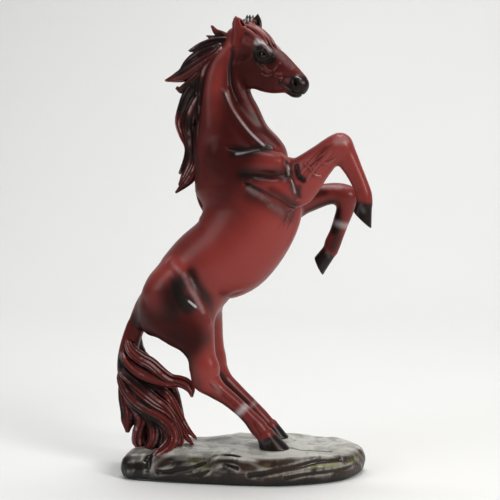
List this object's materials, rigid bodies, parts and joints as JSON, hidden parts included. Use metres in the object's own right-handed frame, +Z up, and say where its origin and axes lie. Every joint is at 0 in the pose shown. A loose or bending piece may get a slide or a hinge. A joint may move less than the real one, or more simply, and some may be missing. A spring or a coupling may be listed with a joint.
{
  "type": "horse figurine",
  "caption": "Rearing horse figurine in painted resin, standing on its hind legs and tail on an oval rock base with a felt underside.",
  "frame": {"origin": "centre of the underside of the felt pad, under the middle of the rock base", "axes": "+Z up, +X the way the horse's body faces, +Y towards the horse's left side"},
  "size_m": [0.1992, 0.0844, 0.3512],
  "materials": {
    "painted_resin": "glossy red-brown lacquer, airbrushed black in the hollows and on hooves, muzzle and hair",
    "rock_resin": "satin black paint with a silvery grey wash and moss-coloured patches",
    "eye_gloss": "glossy black",
    "steel": "drawn steel rod",
    "felt": "dark green felt"
  },
  "bodies": {
    "root": {"base_pad": "felt", "base_casting": "rock_resin", "body_casting": "painted_resin", "head_casting": "painted_resin", "right_eye": "eye_gloss", "left_eye": "eye_gloss", "right_foreleg_casting": "painted_resin", "left_foreleg_casting": "painted_resin", "right_hind_leg_casting": "painted_resin", "left_hind_leg_casting": "painted_resin", "mane_casting": "painted_resin", "tail_casting": "painted_resin", "right_leg_rod": "steel", "left_leg_rod": "steel", "right_rod_washer": "steel", "left_rod_washer": "steel", "right_rod_nut": "steel", "left_rod_nut": "steel", "neck_dowel": "steel", "right_foreleg_dowel": "steel", "left_foreleg_dowel": "steel", "tail_pin": "steel", "tail_foot_pin": "steel", "upper_mane_pin": "steel", "lower_mane_pin": "steel"}
  },
  "joints": []
}
